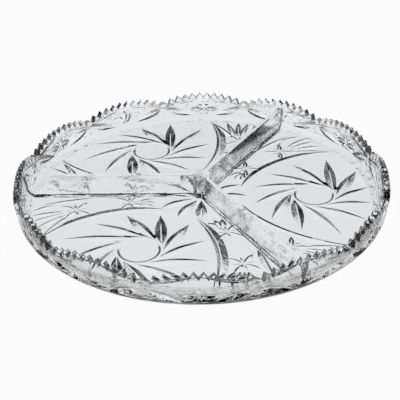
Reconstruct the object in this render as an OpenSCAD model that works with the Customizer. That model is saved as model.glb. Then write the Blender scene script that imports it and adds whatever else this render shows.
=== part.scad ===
// Divided relish tray of pressed clear glass: a round floor with a pinwheel in
// each of three compartments, a low wall, a scalloped rim with saw teeth, and
// three dividers that meet at a hub. Millimetres, +Z up, standing on z = 0.

/* [Tray] */
// Diameter over the shoulder, the widest part
tray_d = 304; // [260:2:360]
// Height of the highest points of the rim
tray_h = 30; // [27:0.5:40]
// Height of the shoulder, where the outside turns from leaning out to leaning in
shoulder_h = 21; // [17:0.5:23]
// Thickness of the floor
floor_t = 5; // [4:0.25:7]
// Thickness of the side wall
wall_t = 6.8; // [5:0.2:8]
// Lean of the side wall, in degrees from upright
wall_lean = 8; // [2:1:12]
// Rounding between the underside and the outside of the wall
heel_r = 10; // [6:0.5:12]
// Hollow between the floor and the inside of the wall
cove_r = 8; // [5:0.5:10]

/* [Rim] */
// Number of scallops round the rim, a multiple of twice the compartments
scallops = 12; // [6:6:18]
// How far the dips between two scallops lie below their crests
scallop_drop = 8; // [4:0.5:9]
// Saw teeth in each scallop
scallop_teeth = 11; // [7:1:15]
// Depth of the notch between two teeth
tooth_h = 4.6; // [2:0.2:5.5]
// Height of the toothed band, measured square to the scallop
band_h = 7.5; // [6.5:0.5:9]
// Thickness of the toothed band at its top
band_top_t = 4; // [3:0.25:5]
// Width of the inner ledge below the band
ledge_w = 0.8; // [0.4:0.1:1.5]

/* [Dividers] */
// How far the dividers' tops lie below the rim's highest points
divider_drop = 5.5; // [5.5:0.5:12]
// Width of a divider at its top
divider_top_w = 4; // [3:0.25:6]
// Width of a divider at its foot, without the fillets
divider_foot_w = 8; // [6:0.5:12]
// Fillet between a divider and the floor
divider_fillet_r = 1.5; // [1:0.5:4]
// Rounding along the upper edges of a divider
divider_edge_r = 1.2; // [0.6:0.1:1.5]
// Width of the six-sided hub over its flats
hub_w = 14; // [10:0.5:18]
// Height of the hub's point above the dividers
hub_peak = 1.5; // [0.5:0.25:3]

/* [Cuts] */
// Half of the angle of a mitre cut, from its middle plane
mitre_angle = 55; // [40:1:60]
// Depth of the pinwheel's vanes
vane_depth = 2.8; // [1.2:0.1:3]
// Depth of the two long curved cuts beside each pinwheel
flank_depth = 2.2; // [1.2:0.1:2.5]
// Depth of the leaves round the hub
leaf_depth = 2.6; // [0.8:0.1:2.8]
// Depth of the stars on the underside
star_depth = 0.9; // [0.5:0.1:1]
// Depth of the fans of straight strokes and of the rings on the underside
fan_depth = 1.2; // [0.6:0.1:1.4]
// Depth of the cuts on the outside of the wall
wall_cut_depth = 1.3; // [0.6:0.1:2]
// Number of vanes in a pinwheel
vanes = 12; // [8:4:16]

/* [Hidden] */

// Compartments, with a divider between each two
compartments = 3;
// Overrun of a cut past the face that it opens
overrun = 1;
// Overrun of a mitred cut, small so that neighbouring cuts stay apart below the glass
cut_overrun = 0.2;
// How far out in the cove the wall begins, of the cove's radius
seam_share = 0.27;
// How far the block below a scallop passes into its neighbours, of half its width
scallop_overlap_share = 0.1;
// How far a divider's fillet runs, of its full width
fillet_end_share = 0.8;
// How much further round than its bite the wheel of a curved cut is drawn
wheel_margin_share = 0.1;
glass = [0.80, 0.86, 0.88];
$fn = 120;

// Section of the bowl. The wall line passes through the shoulder, and its
// outward normal is [cos(wall_lean), -sin(wall_lean)].
shoulder_r = tray_d / 2;
wall_line = shoulder_r * cos(wall_lean) - shoulder_h * sin(wall_lean);
heel_x = (wall_line - heel_r + heel_r * sin(wall_lean)) / cos(wall_lean);
cove_z = floor_t + cove_r;
divider_h = tray_h - divider_drop - floor_t;
cove_x = (wall_line - wall_t - cove_r + cove_z * sin(wall_lean)) / cos(wall_lean);
function wall_r(z, inset = 0) = (wall_line - inset + z * sin(wall_lean)) / cos(wall_lean);

// Rim. The top of each scallop is an arc about a level axis that points outward.
scallop_angle = 360 / scallops;
band_r = wall_r(shoulder_h, wall_t) + ledge_w;
top_r = band_r + band_top_t;
scallop_half = (band_r + top_r) / 2 * sin(scallop_angle / 2);
scallop_r = (pow(scallop_half, 2) + pow(scallop_drop, 2)) / (2 * scallop_drop);
scallop_axis_z = tray_h - scallop_r;
tooth_angle = scallop_angle / scallop_teeth;
tooth_w = 2 * shoulder_r * tan(tooth_angle / 2);

// Places and lengths of the cuts, as shares of the flat underside's radius, on
// a compartment whose middle line is the X axis
wheel_place_share = 0.659;
ring_share = 0.121;
vane_root_share = 0.137;
vane_tip_shares = [0.345, 0.405, 0.450, 0.392, 0.374, 0.374];
flank_start_share = [0.236, 0.108];
flank_end_share = [0.828, 0.549];
flank_radius_share = 0.755;
star_shares = [[0.266, 0.324], [0.492, 0.548]];
star_long_directions = [0, 90, 180, 270];
star_long_reach_shares = [0.010, 0.082];
star_short_directions = [45, 135, 225, 315];
star_short_reach_shares = [0.014, 0.060];
inner_fan_share = [0.262, 0.300];
inner_fan_directions = [215, 237, 258];
inner_fan_reach_shares = [0.040, 0.118];
outer_fan_directions = [4, 17, 31, 46];
outer_fan_root_share = 0.088;
outer_fan_tip_shares = [0.235, 0.285, 0.262, 0.255];
side_stroke_shares = [[[0.345, 0.555], [0.560, 0.770]], [[0.515, 0.697], [0.635, 0.765]]];
leaf_directions = [-30, 0, 30];
leaf_reach_shares = [0.058, 0.250];

// Depths along a cut, as shares of its full depth, at even steps from root to tip
vane_depth_shares = [0, 0.34, 0.62, 0.84, 0.97, 1, 0.78, 0];
stroke_depth_shares = [0, 0.75, 1, 0.75, 0];

// Cuts on the wall: a star below every other crest, and a fan of leaves below the
// crests between. Leans are in degrees from upright, and places and lengths are
// shares of the shoulder's height.
wall_star_place_share = 0.62;
wall_star_leans = [24, 66, 114, 156, 204, 246, 294, 336];
wall_star_length_shares = [0.36, 0.80, 0.80, 0.36, 0.36, 0.80, 0.80, 0.36];
wall_fan_place_share = 0.34;
wall_fan_leans = [-62, -24, 24, 62];
wall_fan_length_shares = [0.80, 0.55, 0.55, 0.80];
wall_gap_share = 0.07;

// A cutter of mitred section along X, from x = 0, with flat sides. It bites up through
// z = 0 to a share of its depth at each of its stations, which lie evenly apart.
module mitre_leaf(length, depth, depth_shares) {
  last = len(depth_shares) - 1;
  function section(i) =
    let (h = depth_shares[i] * depth,
         w = (h + cut_overrun) * tan(mitre_angle))
    [[i / last * length, 0, h], [i / last * length, w, -cut_overrun],
     [i / last * length, -w, -cut_overrun]];
  polyhedron(
    points = [for (i = [0 : last]) each section(i)],
    faces = concat(
      [[2, 1, 0], [3 * last, 3 * last + 1, 3 * last + 2]],
      [for (i = [0 : last - 1])
        for (k = [0 : 2])
          [3 * i + k, 3 * i + (k + 1) % 3, 3 * i + 3 + (k + 1) % 3, 3 * i + 3 + k]]));
}

// A straight cut on the underside from one point to another
module floor_cut(from, to, depth, depth_shares = stroke_depth_shares) {
  translate([from.x, from.y, 0])
    rotate([0, 0, atan2(to.y - from.y, to.x - from.x)])
      mitre_leaf(norm(to - from), depth, depth_shares);
}

// A round groove of mitred section about the origin. Its deepest line lies at z = 0,
// and it opens downwards. It can be a full ring or an arc to both sides of the Y axis.
module mitre_ring(radius, depth, half_angle = 180) {
  groove_w = depth * tan(mitre_angle);
  rotate_extrude(angle = 2 * half_angle, start = 90 - half_angle)
    polygon([[radius, 0], [radius - groove_w, -depth], [radius + groove_w, -depth]]);
}

function polar(r, a) = [r * cos(a), r * sin(a)];

// Straight vanes that leave a ring at a tangent, fullest towards their tips
module pinwheel() {
  vane_step = 360 / vanes;
  ring_r = ring_share * heel_x;
  root_r = vane_root_share * heel_x;
  translate([wheel_place_share * heel_x, 0, 0]) {
    translate([0, 0, fan_depth])
      mitre_ring(ring_r, fan_depth + cut_overrun);
    for (i = [0 : vanes - 1]) {
      tip_a = (i + 0.5) * vane_step;
      outward = min(tip_a, 360 - tip_a);
      tip_share = lookup(outward, [for (k = [0 : 5]) [15 + 30 * k, vane_tip_shares[k]]]);
      sweep = acos(ring_r / (tip_share * heel_x)) - acos(ring_r / root_r);
      floor_cut(polar(root_r, tip_a - sweep), polar(tip_share * heel_x, tip_a), vane_depth,
                vane_depth_shares);
    }
  }
}

// A long curved cut beside the pinwheel. The groove's circle is tilted about the
// chord between the cut's ends, so that the cut fades out at both.
module flank_cut() {
  start = flank_start_share * heel_x;
  end = flank_end_share * heel_x;
  radius = flank_radius_share * heel_x;
  middle = (start + end) / 2;
  half = norm(end - start) / 2;
  centre_away = sqrt(pow(radius, 2) - pow(half, 2));
  tilt = asin(flank_depth / (radius - centre_away));
  half_angle = asin(half / radius) * (1 + wheel_margin_share);
  translate([middle.x, middle.y, 0])
    rotate([0, 0, atan2(end.y - start.y, end.x - start.x)])
      rotate([tilt, 0, 0])
        translate([0, -centre_away, 0])
          mitre_ring(radius, flank_depth + 2 * cut_overrun, half_angle);
}

// Eight leaves round one place, four of them long
module star(place) {
  fan(place, star_long_directions, star_long_reach_shares * heel_x, star_depth);
  fan(place, star_short_directions, star_short_reach_shares * heel_x, star_depth);
}

// Straight cuts that spread from one place
module fan(place, directions, reaches, depth, depth_shares = stroke_depth_shares) {
  for (a = directions)
    floor_cut(place + polar(reaches[0], a), place + polar(reaches[1], a), depth, depth_shares);
}

// All the cuts on one side of a compartment's middle line
module side_cuts() {
  flank_cut();
  for (place_share = star_shares)
    star(place_share * heel_x);
  fan(inner_fan_share * heel_x, inner_fan_directions, inner_fan_reach_shares * heel_x,
      fan_depth);
  for (i = [0 : len(outer_fan_directions) - 1])
    fan(star_shares[1] * heel_x, [outer_fan_directions[i]],
        [outer_fan_root_share, outer_fan_tip_shares[i]] * heel_x, fan_depth);
  for (stroke = side_stroke_shares)
    floor_cut(stroke[0] * heel_x, stroke[1] * heel_x, fan_depth);
}

module compartment_cuts() {
  pinwheel();
  fan([0, 0], leaf_directions, leaf_reach_shares * heel_x, leaf_depth, vane_depth_shares);
  side_cuts();
  mirror([0, 1, 0])
    side_cuts();
}

// Leaves on the outside of the wall that spread from one azimuth and height. The
// longest is cut to the full depth, and the others as much less deep as they are short.
module wall_leaves(azimuth, height, leans, lengths) {
  for (i = [0 : len(leans) - 1]) {
    reach = lengths[i] / 2 + wall_gap_share * shoulder_h;
    centre_h = height + reach * cos(leans[i]);
    rotate([0, 0, azimuth - asin(reach * sin(leans[i]) / shoulder_r)])
      translate([wall_r(centre_h), 0, centre_h])
        rotate([leans[i], wall_lean, 0])
          rotate([0, -90, 0])
            translate([-lengths[i] / 2, 0, 0])
              mitre_leaf(lengths[i], wall_cut_depth * lengths[i] / max(lengths),
                         stroke_depth_shares);
  }
}

// Half section of the whole bowl without the hollow inside
module outer_section() {
  tangent = [heel_x + heel_r * cos(wall_lean), heel_r - heel_r * sin(wall_lean)];
  translate([heel_x, heel_r])
    circle(heel_r);
  polygon([[0, 0], [heel_x, 0], [heel_x, heel_r], tangent, [shoulder_r, shoulder_h],
           [top_r, tray_h], [0, tray_h]]);
}

// Half section of the hollow: a flat floor, a cove and a leaning wall
module inner_section() {
  tangent = [cove_x + cove_r * cos(wall_lean), cove_z - cove_r * sin(wall_lean)];
  inner_r = band_r - ledge_w;
  translate([cove_x, cove_z])
    circle(cove_r);
  polygon([[0, floor_t], [cove_x, floor_t], [cove_x, cove_z], tangent,
           [inner_r, shoulder_h], [inner_r, tray_h + overrun], [0, tray_h + overrun]]);
}

// Half section of the floor: flat below the wall, with the first of the cove inside it
module floor_section() {
  square([heel_x, floor_t]);
  square([cove_x + seam_share * cove_r, cove_z]);
}

// Half section of the glass between the hollow and the outside
module bowl_section() {
  difference() {
    outer_section();
    inner_section();
  }
}

// All that lies below the scallops' arcs, outside the cove, each arc lower than the
// scallop's top by the given drop. Each block passes a little into its neighbours.
module under_scallops(drop) {
  half_w = scallop_half * (1 + scallop_overlap_share);
  for (k = [0 : scallops - 1])
    rotate([0, 0, k * scallop_angle])
      translate([cove_x, 0, 0])
        rotate([90, 0, 90])
          linear_extrude(shoulder_r + overrun - cove_x)
            intersection() {
              translate([0, scallop_axis_z])
                circle(scallop_r - drop);
              translate([-half_w, -overrun])
                square([2 * half_w, tray_h + 2 * overrun]);
            }
}

// One notch that runs outward across the band, square to the scallop
module tooth_notch(a) {
  side = (band_r + top_r) / 2 * sin(a);
  tilt = asin(side / scallop_r);
  top_z = scallop_axis_z + scallop_r * cos(tilt);
  rise = overrun * tooth_w / (2 * tooth_h);
  rotate([0, 0, a])
    translate([band_r - overrun, 0, top_z])
      rotate([-tilt, 0, 0])
        rotate([90, 0, 90])
          linear_extrude(shoulder_r - band_r + 2 * overrun)
            polygon([[0, -tooth_h], [tooth_w / 2 + rise, overrun],
                     [-tooth_w / 2 - rise, overrun]]);
}

module floor_plate() {
  color(glass)
    difference() {
      rotate_extrude()
        intersection() {
          bowl_section();
          floor_section();
        }
      for (k = [0 : compartments - 1])
        rotate([0, 0, k * 360 / compartments])
          compartment_cuts();
    }
}

module side_wall() {
  color(glass)
    difference() {
      intersection() {
        rotate_extrude()
          difference() {
            bowl_section();
            floor_section();
          }
        under_scallops(band_h);
      }
      for (k = [0 : 2 : scallops - 1]) {
        wall_leaves((k + 1) * scallop_angle, wall_star_place_share * shoulder_h,
                    wall_star_leans, wall_star_length_shares * shoulder_h);
        wall_leaves(k * scallop_angle, wall_fan_place_share * shoulder_h,
                    wall_fan_leans, wall_fan_length_shares * shoulder_h);
      }
    }
}

module scalloped_rim() {
  color(glass)
    difference() {
      intersection() {
        rotate_extrude()
          difference() {
            outer_section();
            square([band_r, tray_h + overrun]);
          }
        under_scallops(0);
      }
      under_scallops(band_h);
      for (k = [0 : scallops - 1])
        for (j = [0 : scallop_teeth - 1])
          rotate([0, 0, k * scallop_angle])
            tooth_notch((j + 0.5) * tooth_angle - scallop_angle / 2);
    }
}

// Section of a divider: drafted sides, a fillet along each foot that stops just short
// of a feather edge, and rounded upper edges
module divider_section() {
  foot = divider_foot_w / 2;
  top = divider_top_w / 2;
  edge = divider_edge_r;
  skirt = foot + fillet_end_share * divider_fillet_r;
  difference() {
    polygon([[-skirt, 0], [skirt, 0], [skirt, divider_fillet_r], [foot, divider_fillet_r],
             [top, divider_h], [-top, divider_h], [-foot, divider_fillet_r],
             [-skirt, divider_fillet_r]]);
    for (side = [-1, 1]) {
      translate([side * (foot + divider_fillet_r), divider_fillet_r])
        circle(divider_fillet_r);
      translate([side * top, divider_h])
        difference() {
          square(2 * edge, center = true);
          translate([-side * edge, -edge])
            circle(edge);
        }
    }
  }
}

// The divider on the far side of a compartment, from the hub to the wall
module divider(compartment) {
  azimuth = (compartment + 0.5) * 360 / compartments;
  color(glass)
    rotate([0, 0, azimuth])
      difference() {
        intersection() {
          translate([0, 0, floor_t])
            rotate([90, 0, 90])
              linear_extrude(shoulder_r)
                divider_section();
          rotate_extrude()
            inner_section();
        }
        rotate([0, 0, -azimuth])
          hub_column(tray_h);
      }
}

module hub_column(height) {
  cylinder(r = hub_w / 2 / cos(30), h = height, $fn = 6);
}

// The six-sided hub, pointed by six sloping faces
module center_hub() {
  hub_top = floor_t + divider_h;
  slope = atan(hub_peak / (hub_w / 2));
  color(glass)
    difference() {
      translate([0, 0, floor_t])
        hub_column(divider_h + hub_peak);
      for (k = [0 : 5])
        rotate([0, 0, 60 * k + 30])
          translate([hub_w / 2, 0, hub_top])
            rotate([0, slope, 0])
              translate([-hub_w, -hub_w, 0])
                cube([2 * hub_w, 2 * hub_w, hub_w]);
    }
}

floor_plate();
side_wall();
scalloped_rim();
divider(1);  // divider_left
divider(0);  // divider_back
divider(2);  // divider_front
center_hub();
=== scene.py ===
"""Round divided relish tray of pressed clear glass, in one continuous piece of glass.

The shape is built in millimetres from the same sizes as the CAD model and scaled to
metres at the end. X points through the middle of the right-hand compartment, Z up.
"""

import math

import bmesh
import bpy
from mathutils import Matrix, Vector


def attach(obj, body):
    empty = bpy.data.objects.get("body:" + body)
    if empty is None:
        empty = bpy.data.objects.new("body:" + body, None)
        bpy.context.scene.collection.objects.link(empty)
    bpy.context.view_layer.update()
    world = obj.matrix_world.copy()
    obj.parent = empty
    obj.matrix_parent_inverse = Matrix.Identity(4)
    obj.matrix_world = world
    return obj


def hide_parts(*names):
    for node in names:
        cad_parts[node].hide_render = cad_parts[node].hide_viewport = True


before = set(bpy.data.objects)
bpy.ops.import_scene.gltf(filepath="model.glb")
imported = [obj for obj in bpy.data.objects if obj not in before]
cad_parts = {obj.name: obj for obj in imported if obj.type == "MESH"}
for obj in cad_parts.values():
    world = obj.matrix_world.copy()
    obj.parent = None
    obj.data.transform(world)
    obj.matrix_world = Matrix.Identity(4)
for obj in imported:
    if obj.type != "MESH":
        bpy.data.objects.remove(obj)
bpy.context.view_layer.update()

MM = 0.001


# ---- sizes ----

# As in the CAD model
TRAY_D, TRAY_H, SHOULDER_H = 304.0, 30.0, 21.0
FLOOR_T, WALL_T, LEAN = 5.0, 6.8, math.radians(8)
HEEL_R, COVE_R = 10.0, 8.0
SCALLOPS, DROP, TEETH, TOOTH_H = 12, 8.0, 11, 4.6
BAND_H, BAND_TOP_T, LEDGE_W = 7.5, 4.0, 0.8
HUB_W, HUB_PEAK = 14.0, 1.5
DIVIDER_DROP = 5.5

# The dividers' section, slimmer than in the CAD model. The foot is measured above the fillets
DIVIDER_TOP, DIVIDER_FOOT = 4.2, 4.8
DIVIDER_FILLET, DIVIDER_EDGE = 2.5, 1.2
# The fillets where a divider runs into the wall, and how far they stop below its top
END_FILLET, END_DROP = 1.5, 0.4

# Sideways spread of a cut for each millimetre of depth, and the width of its blunt bottom
MITRE = math.tan(math.radians(55))
WALL_MITRE = math.tan(math.radians(62))
APEX, MIN_APEX = 0.9, 0.04
# A cut has its full blunt bottom from VANE_DEPTH / APEX_RATE on
APEX_RATE = 1.5

# How far bodies pass the glass that they cut, cutters their face, and ribs the floor's top
OVER, CUT_OVER, SINK = 1.0, 0.2, 2.0

SHOULDER_R = TRAY_D / 2
WALL_LINE = SHOULDER_R * math.cos(LEAN) - SHOULDER_H * math.sin(LEAN)
HEEL_X = (WALL_LINE - HEEL_R + HEEL_R * math.sin(LEAN)) / math.cos(LEAN)
COVE_Z = FLOOR_T + COVE_R
COVE_X = (WALL_LINE - WALL_T - COVE_R + COVE_Z * math.sin(LEAN)) / math.cos(LEAN)
DIVIDER_H = TRAY_H - DIVIDER_DROP - FLOOR_T
RIB_FOOT = FLOOR_T - SINK
# Where bodies that cut through the wall begin
CUTTER_R = COVE_X - 30


def wall_r(z, inset=0.0):
    """Radius at height z of the leaning wall's outside, or of a face inset from it."""
    return (WALL_LINE - inset + z * math.sin(LEAN)) / math.cos(LEAN)


BAND_R = wall_r(SHOULDER_H, WALL_T) + LEDGE_W
TOP_R = BAND_R + BAND_TOP_T
INNER_R = BAND_R - LEDGE_W
SCALLOP_A = 2 * math.pi / SCALLOPS
SCALLOP_HALF = (BAND_R + TOP_R) / 2 * math.sin(SCALLOP_A / 2)
SCALLOP_R = (SCALLOP_HALF**2 + DROP**2) / (2 * DROP)
SCALLOP_Z = TRAY_H - SCALLOP_R
TOOTH_A = SCALLOP_A / TEETH
TOOTH_W = 2 * SHOULDER_R * math.tan(TOOTH_A / 2)
DIVIDER_AZIMUTHS = (60, 180, 300)

# Steps of the turned body, its heel and cove, a scallop's arc, and the cuts
TURNS, HEEL_STEPS, SCALLOP_STEPS = 360, 14, 24
LEAF_STEPS, RING_STEPS, FLANK_STEPS = 3, 96, 40


# ---- meshes ----

def new_object(name, verts, faces, matrix=None):
    mesh = bpy.data.meshes.new(name)
    mesh.from_pydata([Vector(v) for v in verts], [], faces)
    if matrix is not None:
        mesh.transform(matrix)
    bm = bmesh.new()
    bm.from_mesh(mesh)
    bmesh.ops.recalc_face_normals(bm, faces=bm.faces)
    bm.to_mesh(mesh)
    bm.free()
    ob = bpy.data.objects.new(name, mesh)
    bpy.context.scene.collection.objects.link(ob)
    return ob


def revolve(name, section):
    """A closed solid from a closed section of (r, z) points, some of them on the axis."""
    verts, rings = [], []
    for r, z in section:
        if r < 1e-6:
            rings.append([len(verts)])
            verts.append((0, 0, z))
        else:
            rings.append(list(range(len(verts), len(verts) + TURNS)))
            angles = [2 * math.pi * k / TURNS for k in range(TURNS)]
            verts += [(r * math.cos(a), r * math.sin(a), z) for a in angles]
    faces = []
    for a, b in zip(rings, rings[1:] + rings[:1]):
        for k in range(TURNS):
            j = (k + 1) % TURNS
            if len(a) > 1 and len(b) > 1:
                faces.append((a[k], a[j], b[j], b[k]))
            elif len(a) > 1:
                faces.append((a[k], a[j], b[0]))
            elif len(b) > 1:
                faces.append((a[0], b[j], b[k]))
    return new_object(name, verts, faces)


def loft(name, outlines, matrix=None, closed=False):
    """A solid through outlines with equally many points, with two ends or closed on itself."""
    n = len(outlines[0])
    total = n * len(outlines)
    verts = [v for outline in outlines for v in outline]
    faces = [] if closed else [tuple(range(n)), tuple(range(total - n, total))]
    for a in range(0, total if closed else total - n, n):
        b = (a + n) % total
        faces += [(a + k, a + (k + 1) % n, b + (k + 1) % n, b + k) for k in range(n)]
    return new_object(name, verts, faces, matrix)


def prism(name, outline, x0, x1, matrix=None):
    """An outline of (y, z) points drawn out along X."""
    return loft(name, [[(x, y, z) for y, z in outline] for x in (x0, x1)], matrix)


def scallop_prisms(name, outline, outer_r):
    """One outline drawn out through the wall at every scallop."""
    return [prism(name, outline, CUTTER_R, outer_r, rot_z(k * SCALLOP_A)) for k in range(SCALLOPS)]


def arc(cx, cy, r, a0, a1, n):
    angles = [math.radians(a0 + (a1 - a0) * k / n) for k in range(n + 1)]
    return [(cx + r * math.cos(a), cy + r * math.sin(a)) for a in angles]


def rot_z(a):
    return Matrix.Rotation(a, 4, "Z")


def combine(name, operation, base, tools):
    """Runs one boolean of a base and several tools, which it uses up."""
    group = bpy.data.collections.new(name)
    bpy.context.scene.collection.children.link(group)
    for tool in tools:
        group.objects.link(tool)
    mod = base.modifiers.new(name, "BOOLEAN")
    mod.operation, mod.solver = operation, "MANIFOLD"
    mod.operand_type, mod.collection = "COLLECTION", group
    depsgraph = bpy.context.evaluated_depsgraph_get()
    mesh = bpy.data.meshes.new_from_object(base.evaluated_get(depsgraph))
    base.modifiers.clear()
    base.data = mesh
    bpy.data.collections.remove(group)
    for tool in tools:
        bpy.data.objects.remove(tool)
    return base


# ---- cuts in the underside ----

# Depths of the cuts, and how deep each kind is along its length, as shares of that
RING_DEPTH, VANE_DEPTH, FLANK_DEPTH, LEAF_DEPTH = 1.3, 3.0, 2.8, 3.0
STAR_DEPTH, FAN_DEPTH = 1.3, 1.6
VANE_SHARES = [0.20, 0.50, 0.78, 0.97, 0.97, 0.72, 0.36, 0]
LEAF_SHARES = [0, 0.30, 0.60, 0.86, 1, 0.84, 0.46, 0]
STROKE_SHARES = [0, 0.75, 1, 0.75, 0]
PETAL_SHARES = [0.3, 0.85, 1, 1, 0.85, 0.5, 0]

# Places and lengths as shares of the flat underside's radius, HEEL_X, and directions in
# degrees. Places are along and across a compartment's middle line
WHEEL_X = 0.659 * HEEL_X
RING_R = 0.121 * HEEL_X
RING_OUTWARD = 4.0
VANE_ROOT = 0.122 * HEEL_X
VANE_TIPS = [0.345, 0.405, 0.450, 0.392, 0.374, 0.374]
HUB_LEAVES, HUB_LEAF_REACH = (-30, 0, 30), (0.050, 0.270)
FLANK_ENDS, FLANK_R = ((0.236, 0.108), (0.834, 0.540)), 0.755 * HEEL_X
STARS = ((0.266, 0.324), (0.492, 0.548))
STAR_LONG, STAR_LONG_REACH = (0, 90, 180, 270), (0.002, 0.105)
STAR_SHORT, STAR_SHORT_REACH = (45, 135, 225, 315), (0.014, 0.060)
INNER_FAN, INNER_FAN_PLACE, INNER_FAN_REACH = (215, 237, 258), (0.262, 0.300), (0.036, 0.122)
OUTER_FAN, OUTER_FAN_ROOT = (0, 16, 32, 46), 0.080
OUTER_FAN_TIPS = (0.310, 0.290, 0.278, 0.270)
SIDE_STROKES = (((0.345, 0.555), (0.560, 0.770)), ((0.515, 0.697), (0.635, 0.765)))


def along(shares, t):
    """A smooth value through evenly spaced shares, at t from 0 to 1."""
    x = t * (len(shares) - 1)
    k = min(int(x), len(shares) - 2)
    f = x - k
    p0, p1, p2, p3 = (shares[max(0, min(len(shares) - 1, k + d))] for d in (-1, 0, 1, 2))
    v = 0.5 * (2 * p1 + (p2 - p0) * f + (2 * p0 - 5 * p1 + 4 * p2 - p3) * f**2
               + (3 * p1 - p0 - 3 * p2 + p3) * f**3)
    return max(v, 0.0)


def mitre_leaf(length, depth, shares, matrix, spread=MITRE):
    """A blunt V-shaped cutter along X, from x = 0, that bites up through z = 0."""
    steps = LEAF_STEPS * (len(shares) - 1)
    outlines = []
    for k in range(steps + 1):
        h = along(shares, k / steps) * depth
        flat = max(MIN_APEX / 2, APEX / 2 * min(1, APEX_RATE * h / VANE_DEPTH))
        w = (h + CUT_OVER) * spread + flat
        x = length * k / steps
        outlines.append([(x, flat, h), (x, w, -CUT_OVER), (x, -w, -CUT_OVER), (x, -flat, h)])
    return loft("cut", outlines, matrix)


def floor_cut(a, b, depth, matrix, shares=None):
    """A cut in the underside from point a to point b of the given frame."""
    turn = math.atan2(b[1] - a[1], b[0] - a[0])
    length = math.hypot(b[0] - a[0], b[1] - a[1])
    place = matrix @ Matrix.Translation((a[0], a[1], 0)) @ rot_z(turn)
    return mitre_leaf(length, depth, shares or STROKE_SHARES, place)


def ring_cut(radius, depth, below, matrix, half_a=None, outward=1.0):
    """A mitred groove round the origin, a full ring or an arc on both sides of +Y."""
    w, flat = (depth + below) * MITRE, APEX / 2
    section = [(radius + flat, depth), (radius - flat, depth), (radius - flat - w, -below),
               (radius + flat + w * outward, -below)]
    if half_a is None:
        angles = [2 * math.pi * k / RING_STEPS for k in range(RING_STEPS)]
    else:
        angles = [math.pi / 2 - half_a + 2 * half_a * k / FLANK_STEPS
                  for k in range(FLANK_STEPS + 1)]
    outlines = [[(r * math.cos(a), r * math.sin(a), z) for r, z in section] for a in angles]
    return loft("ring", outlines, matrix, closed=half_a is None)


def polar(r, deg):
    return (r * math.cos(math.radians(deg)), r * math.sin(math.radians(deg)))


def pinwheel_cuts(base_m):
    """A ring, and twelve straight vanes that leave it at a tangent."""
    centre = base_m @ Matrix.Translation((WHEEL_X, 0, 0))
    out = [ring_cut(RING_R, RING_DEPTH, CUT_OVER, centre, outward=RING_OUTWARD)]
    for i in range(12):
        tip = (i + 0.5) * 30
        tip_r = VANE_TIPS[round((min(tip, 360 - tip) - 15) / 30)] * HEEL_X
        sweep = math.degrees(math.acos(RING_R / tip_r) - math.acos(RING_R / VANE_ROOT))
        out.append(floor_cut(polar(VANE_ROOT, tip - sweep), polar(tip_r, tip), VANE_DEPTH, centre,
                             VANE_SHARES))
    return out


def flank_cut(base_m, a, b, mirror):
    """A long arc from a to b that is deepest at its middle and runs out at its ends."""
    half = math.hypot(b[0] - a[0], b[1] - a[1]) / 2
    away = math.sqrt(FLANK_R**2 - half**2)
    turn = math.atan2(b[1] - a[1], b[0] - a[0]) + (0 if mirror > 0 else math.pi)
    tilt = math.asin(FLANK_DEPTH / (FLANK_R - away))
    place = (base_m @ Matrix.Translation(((a[0] + b[0]) / 2, (a[1] + b[1]) / 2, 0)) @ rot_z(turn)
             @ Matrix.Rotation(tilt, 4, "X") @ Matrix.Translation((0, -away, 0)))
    return ring_cut(FLANK_R, 0, FLANK_DEPTH + 2 * CUT_OVER, place, math.asin(half / FLANK_R) * 1.1)


def side_cuts(base_m, mirror):
    """The flank, stars, fans and strokes on one side of a compartment's middle line."""
    def m(p):
        return (p[0] * HEEL_X, mirror * p[1] * HEEL_X)

    def fan(place, directions, reach, depth, shares=STROKE_SHARES):
        x, y = m(place)
        for d in directions:
            a, b = (polar(r * HEEL_X, mirror * d) for r in reach)
            out.append(floor_cut((x + a[0], y + a[1]), (x + b[0], y + b[1]), depth, base_m, shares))

    out = [flank_cut(base_m, m(FLANK_ENDS[0]), m(FLANK_ENDS[1]), mirror)]
    for star in STARS:
        fan(star, STAR_LONG, STAR_LONG_REACH, STAR_DEPTH)
        fan(star, STAR_SHORT, STAR_SHORT_REACH, STAR_DEPTH / 2)
    fan(INNER_FAN_PLACE, INNER_FAN, INNER_FAN_REACH, FAN_DEPTH, PETAL_SHARES)
    for direction, tip in zip(OUTER_FAN, OUTER_FAN_TIPS):
        fan(STARS[1], (direction,), (OUTER_FAN_ROOT, tip), FAN_DEPTH, PETAL_SHARES)
    for a, b in SIDE_STROKES:
        out.append(floor_cut(m(a), m(b), FAN_DEPTH, base_m, PETAL_SHARES))
    return out


def compartment_cuts(base_m):
    """Every cut under one compartment, whose middle line lies along X of the given frame."""
    out = pinwheel_cuts(base_m)
    for a in HUB_LEAVES:
        root, tip = (polar(share * HEEL_X, a) for share in HUB_LEAF_REACH)
        out.append(floor_cut(root, tip, LEAF_DEPTH, base_m, LEAF_SHARES))
    return out + side_cuts(base_m, 1) + side_cuts(base_m, -1)


# ---- cuts in the wall ----

WALL_CUT = 1.7
# Free space between the middle of a star or fan and the ends of its leaves
WALL_LEAF_GAP = 1.2
# Two long leaves run down from each dip, one to either side
DIP_Z, DIP_LEAN, DIP_LEAF = 15.5, 72, 33
# A star below every other crest: leans, lengths and share of the depth of its long and
# short leaves
STAR_Z = 12.5
STAR_LEAVES = (((0, 90, 180, 270), (7, 13, 6, 13), 0.7),
               ((45, 135, 225, 315), (6, 6, 6, 6), 0.5))
# Three small leaves below the crests between them
SMALL_Z, SMALL_LEANS, SMALL_LEAVES, SMALL_SHARE = 8, (-38, 0, 38), (9, 12, 9), 0.8

# Long flat-bottomed leaves inside, along the foot of the toothed band. Their ends are
# shares of half a scallop, and the lower one is lifted
CREASE_W, CREASE_D, CREASE_STEPS = 2.4, 0.9, 12
CREASE_LOW, CREASE_HIGH, CREASE_LIFT = 0.97, 0.12, 0.8


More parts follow.
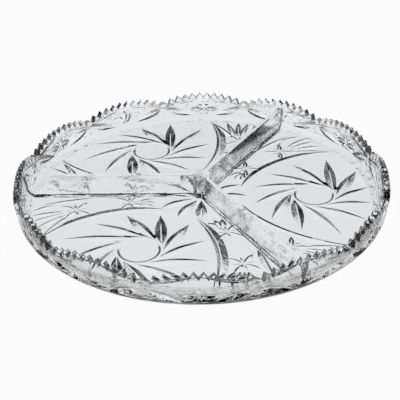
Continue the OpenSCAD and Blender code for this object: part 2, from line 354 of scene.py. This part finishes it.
def wall_leaves(azimuth, height, leans, lengths, depth=WALL_CUT):
    """Leaves on the wall's outside that spread from one azimuth and height."""
    out = []
    for lean, length in zip(leans, lengths):
        t = math.radians(lean)
        reach = length / 2 + WALL_LEAF_GAP
        h = height + reach * math.cos(t)
        a = math.radians(azimuth) - math.asin(reach * math.sin(t) / SHOULDER_R)
        place = (rot_z(a) @ Matrix.Translation((wall_r(h), 0, h)) @ Matrix.Rotation(LEAN, 4, "Y")
                 @ Matrix.Rotation(t, 4, "X") @ Matrix.Rotation(-math.pi / 2, 4, "Y")
                 @ Matrix.Translation((-length / 2, 0, 0)))
        leaf_depth = depth * length / max(lengths)
        out.append(mitre_leaf(length, leaf_depth, PETAL_SHARES, place, WALL_MITRE))
    return out


def wall_cuts():
    out = []
    for k in range(SCALLOPS):
        crest = 360 / SCALLOPS * k
        dip = crest + 180 / SCALLOPS
        out += wall_leaves(dip, DIP_Z, [180 - DIP_LEAN, 180 + DIP_LEAN], [DIP_LEAF, DIP_LEAF])
        if k % 2:
            for leans, lengths, share in STAR_LEAVES:
                out += wall_leaves(crest, STAR_Z, leans, lengths, WALL_CUT * share)
        else:
            out += wall_leaves(crest, SMALL_Z, SMALL_LEANS, SMALL_LEAVES, WALL_CUT * SMALL_SHARE)
    return out


def crease_cuts():
    low, top = TRAY_H - DROP - TOOTH_H, TRAY_H - TOOTH_H
    leaves = []
    for side in (1, -1):
        a = (side * SCALLOP_HALF * CREASE_LOW, low + CREASE_LIFT)
        b = (side * SCALLOP_HALF * CREASE_HIGH, top)
        length = math.hypot(b[0] - a[0], b[1] - a[1])
        across = (-(b[1] - a[1]) / length, (b[0] - a[0]) / length)
        edge = [(k / CREASE_STEPS, CREASE_W / 2 * math.sin(math.pi * k / CREASE_STEPS))
                for k in range(CREASE_STEPS + 1)]
        points = edge + [(t, -w) for t, w in reversed(edge[1:-1])]
        outline = [(a[0] + (b[0] - a[0]) * t + across[0] * w,
                    a[1] + (b[1] - a[1]) * t + across[1] * w) for t, w in points]
        leaves += scallop_prisms("crease", outline, SHOULDER_R)
    inner, outer = INNER_R - 4, BAND_R + CREASE_D
    reach = revolve("reach", [(inner, 0), (outer, 0), (outer, TRAY_H), (inner, TRAY_H)])
    cuts = combine("creases", "UNION", leaves[0], leaves[1:])
    return combine("crease_depth", "INTERSECT", cuts, [reach])


# ---- the tray ----

def bowl():
    heel = arc(HEEL_X, HEEL_R, HEEL_R, -90, -math.degrees(LEAN), HEEL_STEPS)
    cove = arc(COVE_X, COVE_Z, COVE_R, -math.degrees(LEAN), -90, HEEL_STEPS)
    return revolve("tray_glass", [(0, 0)] + heel + [(SHOULDER_R, SHOULDER_H), (TOP_R, TRAY_H),
                                                    (INNER_R, TRAY_H), (INNER_R, SHOULDER_H)]
                   + cove + [(0, FLOOR_T)])


def scallop_blocks():
    """What lies below the arc of each scallop. Each block passes a little into the next."""
    half = SCALLOP_HALF * 1.1
    span = math.degrees(math.asin(half / SCALLOP_R))
    crest = arc(0, SCALLOP_Z, SCALLOP_R, 90 - span, 90 + span, SCALLOP_STEPS)
    return scallop_prisms("scallop", [(-half, -OVER), (half, -OVER)] + crest, SHOULDER_R + OVER)


def tents():
    """What lies below the straight lines from the foot of each dip up to the foot of each crest."""
    spare = 0.02
    half, low, top = SCALLOP_HALF * (1 + spare), TRAY_H - DROP - TOOTH_H, TRAY_H - TOOTH_H
    low -= (top - low) * spare
    outline = [(-half, -OVER), (half, -OVER), (half, low), (0, top), (-half, low)]
    return scallop_prisms("tent", outline, SHOULDER_R + OVER)


def notch(a, k):
    """The gap between two teeth, at angle a from the middle of scallop k."""
    side = (BAND_R + TOP_R) / 2 * math.sin(a)
    tilt = math.asin(side / SCALLOP_R)
    top = SCALLOP_Z + SCALLOP_R * math.cos(tilt)
    rise = OVER * TOOTH_W / (2 * TOOTH_H)
    outline = [(0, -TOOTH_H), (TOOTH_W / 2 + rise, OVER), (-TOOTH_W / 2 - rise, OVER)]
    place = (rot_z(k * SCALLOP_A + a) @ Matrix.Translation((0, 0, top))
             @ Matrix.Rotation(-tilt, 4, "X"))
    return prism("notch", outline, BAND_R - OVER, SHOULDER_R + OVER, place)


def divider(azimuth):
    foot, top = DIVIDER_FOOT / 2, DIVIDER_TOP / 2
    fillet = arc(foot + DIVIDER_FILLET, DIVIDER_FILLET, DIVIDER_FILLET, 270, 180, 8)
    edge = arc(top - DIVIDER_EDGE, DIVIDER_H - DIVIDER_EDGE, DIVIDER_EDGE, 0, 90, 5)
    side = [(fillet[0][0], RIB_FOOT)] + [(y, z + FLOOR_T) for y, z in fillet + edge]
    outline = side + [(-y, z) for y, z in reversed(side)]
    return prism("divider", outline, 0, SHOULDER_R, rot_z(math.radians(azimuth)))


def end_fillet(azimuth):
    """The fillets in the two corners where a divider runs into the wall."""
    into_rib, into_wall = 0.05, 1.4
    outlines = []
    top_z = FLOOR_T + DIVIDER_H - END_DROP
    for z, half in ((RIB_FOOT, DIVIDER_FOOT / 2), (top_z, DIVIDER_TOP / 2)):
        inner = wall_r(z, WALL_T)
        side = [(inner + into_wall, half + END_FILLET)]
        side += arc(inner - END_FILLET, half - into_rib + END_FILLET, END_FILLET, 0, -90, 10)
        outlines.append([(x, y, z) for x, y in side] + [(x, -y, z) for x, y in reversed(side)])
    return loft("end_fillet", outlines, rot_z(math.radians(azimuth)))


def hub():
    r = HUB_W / 2 / math.cos(math.radians(30))
    verts = [(0, 0, RIB_FOOT), (0, 0, FLOOR_T + DIVIDER_H + HUB_PEAK)]
    for z in (RIB_FOOT, FLOOR_T + DIVIDER_H):
        verts += [(*polar(r, 60 * k), z) for k in range(6)]
    faces = []
    for k in range(6):
        j = (k + 1) % 6
        faces += [(0, 2 + j, 2 + k), (2 + k, 2 + j, 8 + j, 8 + k), (1, 8 + k, 8 + j)]
    return new_object("hub", verts, faces)


def toothed_bowl():
    glass = bowl()
    # above the scallops
    core = revolve("core", [(0, -OVER), (COVE_X - 5, -OVER), (COVE_X - 5, TRAY_H), (0, TRAY_H)])
    keep = combine("keep", "UNION", core, scallop_blocks())
    glass = combine("scallops", "INTERSECT", glass, [keep])
    # the step inside, below the toothed band
    foot = SHOULDER_H - DROP - BAND_H
    recess = revolve("recess", [(INNER_R - OVER, foot), (BAND_R, foot), (BAND_R, TRAY_H + OVER),
                                (INNER_R - OVER, TRAY_H + OVER)])
    recess = combine("ledge", "DIFFERENCE", recess, tents())
    glass = combine("recess", "DIFFERENCE", glass, [recess])
    # neighbouring notches touch, so they are cut in two turns
    notches = [notch((j + 0.5) * TOOTH_A - SCALLOP_A / 2, k)
               for k in range(SCALLOPS) for j in range(TEETH)]
    glass = combine("teeth_even", "DIFFERENCE", glass, notches[0::2])
    return combine("teeth_odd", "DIFFERENCE", glass, notches[1::2])


def ribs():
    """The hub and dividers, which end inside the wall."""
    into_wall = 1.5
    shoulder = wall_r(SHOULDER_H, WALL_T - into_wall)
    limit = revolve("limit", [(0, 0), (wall_r(0, WALL_T - into_wall), 0), (shoulder, SHOULDER_H),
                              (shoulder, TRAY_H), (0, TRAY_H)])
    parts = [divider(a) for a in DIVIDER_AZIMUTHS] + [end_fillet(a) for a in DIVIDER_AZIMUTHS]
    cross = combine("cross", "UNION", hub(), parts)
    return combine("cross_end", "INTERSECT", cross, [limit])


def tray():
    glass = combine("dividers", "UNION", toothed_bowl(), [ribs()])
    cuts = [c for k in range(3) for c in compartment_cuts(rot_z(math.radians(120 * k)))]
    glass = combine("cuts", "DIFFERENCE", glass, cuts)
    glass = combine("wall_cuts", "DIFFERENCE", glass, wall_cuts())
    return combine("crease_cuts", "DIFFERENCE", glass, [crease_cuts()])


# Where the heel's arc passes into the wall, the least and most depth of a wall leaf's
# faces, and the slopes of a cut's faces in the underside
HEEL_TOP = HEEL_R * 0.86
WALL_LEAF_DEPTHS = (0.2, 2.5)
CUT_SLOPES = (-0.97, -0.1)


def finish_marks(c, n):
    """Whether a face with centre c and normal n is a cut, a rib or outer wall."""
    r = math.hypot(c.x, c.y)
    if c.z < HEEL_TOP:
        depth = HEEL_R - math.hypot(r - HEEL_X, c.z - HEEL_R)
    else:
        depth = (wall_r(c.z) - r) * math.cos(LEAN)
    leaf = c.z < SHOULDER_H and r > HEEL_X and WALL_LEAF_DEPTHS[0] < depth < WALL_LEAF_DEPTHS[1]
    under = c.z < 4 and r < HEEL_X + 1 and CUT_SLOPES[0] < n.z < CUT_SLOPES[1]
    rib = c.z > FLOOR_T + 0.05 and r < wall_r(c.z, WALL_T + 2)
    outside = r > wall_r(c.z, 3) and c.z < SHOULDER_H or r > HEEL_X + 1 and n.z < 0
    return leaf or under, rib, not leaf and outside


def grain_place(p):
    """Where a point looks up its grain: drawn out along the ribs, and round the wall."""
    if math.hypot(p.x, p.y) > HEEL_X - 12:
        return (p.x * 0.3, p.y * 0.3, p.z)
    a = math.atan2(p.y, p.x)
    nearest = min(DIVIDER_AZIMUTHS, key=lambda d: -math.cos(a - math.radians(d)))
    local = rot_z(-math.radians(nearest)) @ p
    return (local.x * 0.05, local.y, local.z)


def mark_finish(mesh):
    marks = [finish_marks(p.center, p.normal) for p in mesh.polygons]
    for name, values in zip(("cut", "rib", "wall"), zip(*marks)):
        layer = mesh.attributes.new(name, "FLOAT", "FACE")
        layer.data.foreach_set("value", [float(v) for v in values])
    grain = [x for v in mesh.vertices for x in grain_place(v.co)]
    mesh.attributes.new("grain", "FLOAT_VECTOR", "POINT").data.foreach_set("vector", grain)


glass = tray()
mark_finish(glass.data)
glass.data.transform(Matrix.Scale(MM, 4))
glass.name = glass.data.name = "tray_glass"
for p in glass.data.polygons:
    p.use_smooth = True
glass.data.set_sharp_from_angle(angle=math.radians(22))
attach(glass, "root")
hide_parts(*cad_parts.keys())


# ---- glass ----

GLASS_IOR = 1.52
# The outer wall's faces are tinted darker and warmer than the rest of the glass: painted shade for
# the dim tone the wall shows
GLASS_TINT, WALL_SHADE_TINT = (0.985, 0.99, 0.985, 1), (0.86, 0.86, 0.82, 1)
# Roughness, and relief in millimetres
SOFT_ROUGH, CUT_ROUGH, RIB_ROUGH, WALL_ROUGH = 0.03, 0.08, 0.03, 0.03
SOFT_BUMP, CUT_BUMP, RIB_BUMP, WALL_BUMP = 0.03, 0.25, 0.20, 1.60
# Noise scales, the first three per metre and the last two per millimetre of the grain
SOFT_SCALE, PATCH_SCALE, CUT_SCALE, RIB_SCALE, WALL_SCALE = 55, 320, 450, 0.6, 0.45


def math_node(tree, operation, *values):
    node = tree.nodes.new("ShaderNodeMath")
    node.operation = operation
    for socket, value in zip(node.inputs, values):
        if isinstance(value, (int, float)):
            socket.default_value = value
        else:
            tree.links.new(value, socket)
    return node.outputs[0]


def mix_node(tree, kind, factor, a, b):
    """Passes from a to b, each a value or another node's output."""
    node = tree.nodes.new("ShaderNodeMix")
    node.data_type = kind
    tree.links.new(factor, node.inputs["Factor"])
    for name, value in (("A", a), ("B", b)):
        if isinstance(value, bpy.types.NodeSocket):
            tree.links.new(value, node.inputs[name])
        else:
            node.inputs[name].default_value = value
    return node.outputs["Result"]


def glass_material():
    mat = bpy.data.materials.new("clear_glass")
    mat.use_nodes = True
    nt = mat.node_tree
    bsdf = nt.nodes["Principled BSDF"]
    bsdf.inputs["Transmission Weight"].default_value = 1
    bsdf.inputs["IOR"].default_value = GLASS_IOR

    def noise(vector, scale):
        node = nt.nodes.new("ShaderNodeTexNoise")
        node.inputs["Scale"].default_value = scale
        node.inputs["Detail"].default_value = 2
        nt.links.new(vector, node.inputs["Vector"])
        return node.outputs["Fac"]

    def mark(name, output="Fac"):
        node = nt.nodes.new("ShaderNodeAttribute")
        node.attribute_name = name
        return node.outputs[output]

    place = nt.nodes.new("ShaderNodeTexCoord").outputs["Object"]
    grain = mark("grain", "Vector")
    marks = mark("cut"), mark("rib"), mark("wall")
    soft = noise(place, SOFT_SCALE)
    # the mould leaves the cuts and ribs duller, in patches, than the fire-polished faces
    patches = math_node(nt, "MULTIPLY", noise(place, PATCH_SCALE), 2)
    rough = math_node(nt, "MULTIPLY", soft, SOFT_ROUGH)
    for face, amount in zip(marks, (CUT_ROUGH, RIB_ROUGH, WALL_ROUGH)):
        rough = math_node(nt, "MULTIPLY_ADD", math_node(nt, "MULTIPLY", face, amount), patches,
                          rough)
    nt.links.new(rough, bsdf.inputs["Roughness"])
    height = math_node(nt, "MULTIPLY", soft, SOFT_BUMP)
    reliefs = noise(place, CUT_SCALE), noise(grain, RIB_SCALE), noise(grain, WALL_SCALE)
    for face, amount, relief in zip(marks, (CUT_BUMP, RIB_BUMP, WALL_BUMP), reliefs):
        height = math_node(nt, "MULTIPLY_ADD", math_node(nt, "MULTIPLY", face, amount), relief,
                           height)
    bump = nt.nodes.new("ShaderNodeBump")
    bump.inputs["Strength"].default_value = 1
    bump.inputs["Distance"].default_value = MM
    nt.links.new(height, bump.inputs["Height"])
    nt.links.new(bump.outputs["Normal"], bsdf.inputs["Normal"])
    # Painted shade: the outer wall's faces take the darker wall tint
    tint = mix_node(nt, "RGBA", marks[2], GLASS_TINT, WALL_SHADE_TINT)
    nt.links.new(tint, bsdf.inputs["Base Color"])
    return mat


glass.data.materials.clear()
glass.data.materials.append(glass_material())
for p in glass.data.polygons:
    p.material_index = 0


# ---- floor ----

FLOOR_HALF, FLOOR_Z, FLOOR_COLOUR = 4.0, -0.0003, (0.9, 0.9, 0.9, 1)
WHITE = (1, 1, 1, 1)
# How much of the floor shows a painted tone: plain white to the camera, and the painted pool of
# light and shade through the glass and in reflections. The rest takes light and the tray's shadow
TONE_SHARE = 0.96
# Seen through the glass and in reflections, the table shows a painted pool of light that darkens
# outwards into painted shade. Its tones at distances in metres from the pool's middle, which lies
# behind the tray's middle
POOL_Y, TABLE_REACH = 0.04, 0.4
PAINTED_POOL_TONES = ((0.000, (0.92, 0.925, 0.965, 1)), (0.175, (0.92, 0.925, 0.965, 1)),
               (0.192, (0.30, 0.295, 0.28, 1)), (0.260, (0.10, 0.098, 0.09, 1)),
               (0.320, (0.045, 0.043, 0.036, 1)))


def painted_pool_tone(nt):
    """The painted pool of light and shade on the table, by distance from its middle."""
    offset = nt.nodes.new("ShaderNodeVectorMath")
    offset.operation = "SUBTRACT"
    offset.inputs[1].default_value = (0, POOL_Y, 0)
    nt.links.new(nt.nodes.new("ShaderNodeNewGeometry").outputs["Position"], offset.inputs[0])
    away = nt.nodes.new("ShaderNodeVectorMath")
    away.operation = "LENGTH"
    nt.links.new(offset.outputs["Vector"], away.inputs[0])
    tone = nt.nodes.new("ShaderNodeValToRGB")
    stops = tone.color_ramp.elements
    for k, (distance, colour) in enumerate(PAINTED_POOL_TONES):
        stop = stops[k] if k < len(stops) else stops.new(distance / TABLE_REACH)
        stop.position, stop.color = distance / TABLE_REACH, colour
    share = math_node(nt, "DIVIDE", away.outputs["Value"], TABLE_REACH)
    nt.links.new(share, tone.inputs["Fac"])
    return tone.outputs["Color"]


def floor():
    s = FLOOR_HALF
    corners = [(-s, -s, FLOOR_Z), (s, -s, FLOOR_Z), (s, s, FLOOR_Z), (-s, s, FLOOR_Z)]
    ob = new_object("floor", corners, [(0, 1, 2, 3)])
    mat = bpy.data.materials.new("floor")
    mat.use_nodes = True
    nt = mat.node_tree
    nt.nodes.clear()
    path = nt.nodes.new("ShaderNodeLightPath").outputs
    diffuse = nt.nodes.new("ShaderNodeBsdfDiffuse")
    diffuse.inputs["Color"].default_value = FLOOR_COLOUR
    shown = nt.nodes.new("ShaderNodeEmission")
    shown.inputs["Strength"].default_value = 1
    # Painted light: to the camera the floor is plain white, and through the glass and in
    # reflections it shows the painted pool of light and shade
    seen = mix_node(nt, "RGBA", path["Is Camera Ray"], painted_pool_tone(nt), WHITE)
    nt.links.new(seen, shown.inputs["Color"])
    looks = math_node(nt, "MAXIMUM", path["Is Camera Ray"], path["Is Transmission Ray"])
    looks = math_node(nt, "MAXIMUM", looks, path["Is Glossy Ray"])
    mix = nt.nodes.new("ShaderNodeMixShader")
    nt.links.new(math_node(nt, "MULTIPLY", looks, TONE_SHARE), mix.inputs[0])
    nt.links.new(diffuse.outputs[0], mix.inputs[1])
    nt.links.new(shown.outputs[0], mix.inputs[2])
    out = nt.nodes.new("ShaderNodeOutputMaterial")
    nt.links.new(mix.outputs[0], out.inputs[0])
    ob.data.materials.append(mat)
    return ob


floor()


# ---- light ----

# White to the camera, and a dim warm room to everything else
ROOM_COLOUR, ROOM_STRENGTH = (1, 0.98, 0.92, 1), 0.015


def room():
    world = bpy.data.worlds.new("room")
    bpy.context.scene.world = world
    world.use_nodes = True
    tree = world.node_tree
    back = tree.nodes["Background"]
    seen = tree.nodes.new("ShaderNodeLightPath").outputs["Is Camera Ray"]
    tree.links.new(mix_node(tree, "RGBA", seen, ROOM_COLOUR, WHITE), back.inputs["Color"])
    tree.links.new(mix_node(tree, "FLOAT", seen, ROOM_STRENGTH, 1), back.inputs["Strength"])


def softbox(name, place, size, watts):
    """A soft lamp that faces the tray's middle."""
    data = bpy.data.lights.new(name, "AREA")
    data.shape, data.size, data.size_y, data.energy = "RECTANGLE", size[0], size[1], watts
    ob = bpy.data.objects.new(name, data)
    bpy.context.scene.collection.objects.link(ob)
    ob.location = place
    ob.rotation_mode = "QUATERNION"
    ob.rotation_quaternion = (-Vector(place)).to_track_quat("-Z", "Y")


room()
softbox("top_light", (0.0, 0.1, 1.6), (2.2, 1.6), 5)
softbox("left_light", (-1.5, -0.4, 0.9), (1.2, 1.2), 4)
softbox("right_light", (1.5, 0.2, 0.8), (1.0, 1.2), 3)


# ---- camera ----

# Solved from the photograph: angles, distance in metres, and the focal length and the
# place of the tray's middle in pixels of the frame
ELEVATION, ROLL, AZIMUTH = math.radians(30.669), math.radians(-1.132), math.radians(1.364)
DISTANCE, FOCAL, MIDDLE = 0.757114, 913.685, (1.855, -0.815)
FRAME_W, SENSOR_W = 400, 36


def camera():
    a, b = MIDDLE[0] * DISTANCE / FOCAL, -MIDDLE[1] * DISTANCE / FOCAL
    turn = Matrix.Rotation(AZIMUTH, 3, "Z")
    right = Vector((1, 0, 0))
    up = Vector((0, math.sin(ELEVATION), math.cos(ELEVATION)))
    ahead = Vector((0, math.cos(ELEVATION), -math.sin(ELEVATION)))
    cam_x = turn @ (math.cos(ROLL) * right + math.sin(ROLL) * up)
    cam_y = turn @ (-math.sin(ROLL) * right + math.cos(ROLL) * up)
    cam_z = turn @ -ahead
    place = Matrix((cam_x, cam_y, cam_z)).transposed().to_4x4()
    place.translation = turn @ (-a * right - b * up - DISTANCE * ahead)
    data = bpy.data.cameras.new("camera")
    data.sensor_width = SENSOR_W
    data.lens = FOCAL / FRAME_W * SENSOR_W
    data.clip_start = 0.01
    ob = bpy.data.objects.new("camera", data)
    bpy.context.scene.collection.objects.link(ob)
    ob.matrix_world = place
    bpy.context.scene.camera = ob


camera()
bpy.context.scene.view_settings.view_transform = "Standard"
